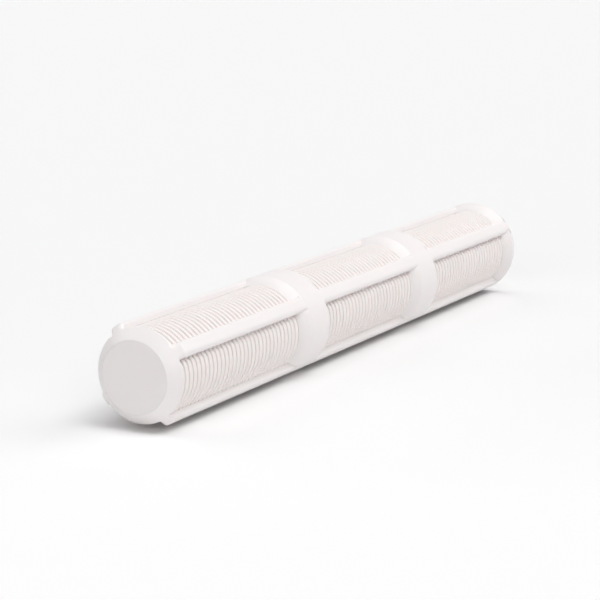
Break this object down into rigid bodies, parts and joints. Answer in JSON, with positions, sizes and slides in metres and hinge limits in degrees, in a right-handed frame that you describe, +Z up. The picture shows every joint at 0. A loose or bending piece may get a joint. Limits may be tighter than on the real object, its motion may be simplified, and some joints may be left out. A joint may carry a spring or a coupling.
{
  "type": "air stone",
  "caption": "Long round air diffuser: porous stones inside a white slotted plastic guard with ribbed windows, a blind nose and a barbed hose nipple on a screwed rear cap.",
  "frame": {"origin": "on the floor under the middle of the tube, hose nipple included", "axes": "+X along the tube from the blind nose to the hose nipple, +Z up, with the tube lying on its collars"},
  "size_m": [0.308, 0.0398, 0.0398],
  "materials": {
    "white_plastic": "white moulded plastic with a soft sheen",
    "porous_stone": "open-grained porous mineral, matt",
    "black_rubber": "soft black rubber",
    "natural_nylon": "plain off-white nylon"
  },
  "bodies": {
    "guard": {"end_disc": "white_plastic", "front_cage": "white_plastic", "middle_cage": "white_plastic", "rear_cage": "white_plastic", "front_screen": "white_plastic", "middle_screen": "white_plastic", "rear_screen": "white_plastic", "front_joint_ring": "white_plastic", "rear_joint_ring": "white_plastic", "front_stone": "porous_stone", "middle_stone": "porous_stone", "rear_stone": "porous_stone", "front_stone_seal": "black_rubber", "front_joint_seal": "black_rubber", "rear_joint_seal": "black_rubber", "rear_stone_seal": "black_rubber"},
    "cap": {"rear_cap": "white_plastic", "hose_nipple": "natural_nylon", "nipple_nut": "natural_nylon", "nipple_seal": "black_rubber"}
  },
  "joints": [
    {"name": "rear_cap_turn", "type": "hinge", "parent": "guard", "child": "cap", "pos_m": [0.135, 0, 0.01989], "axis": [1, 0, 0], "continuous": true}
  ]
}
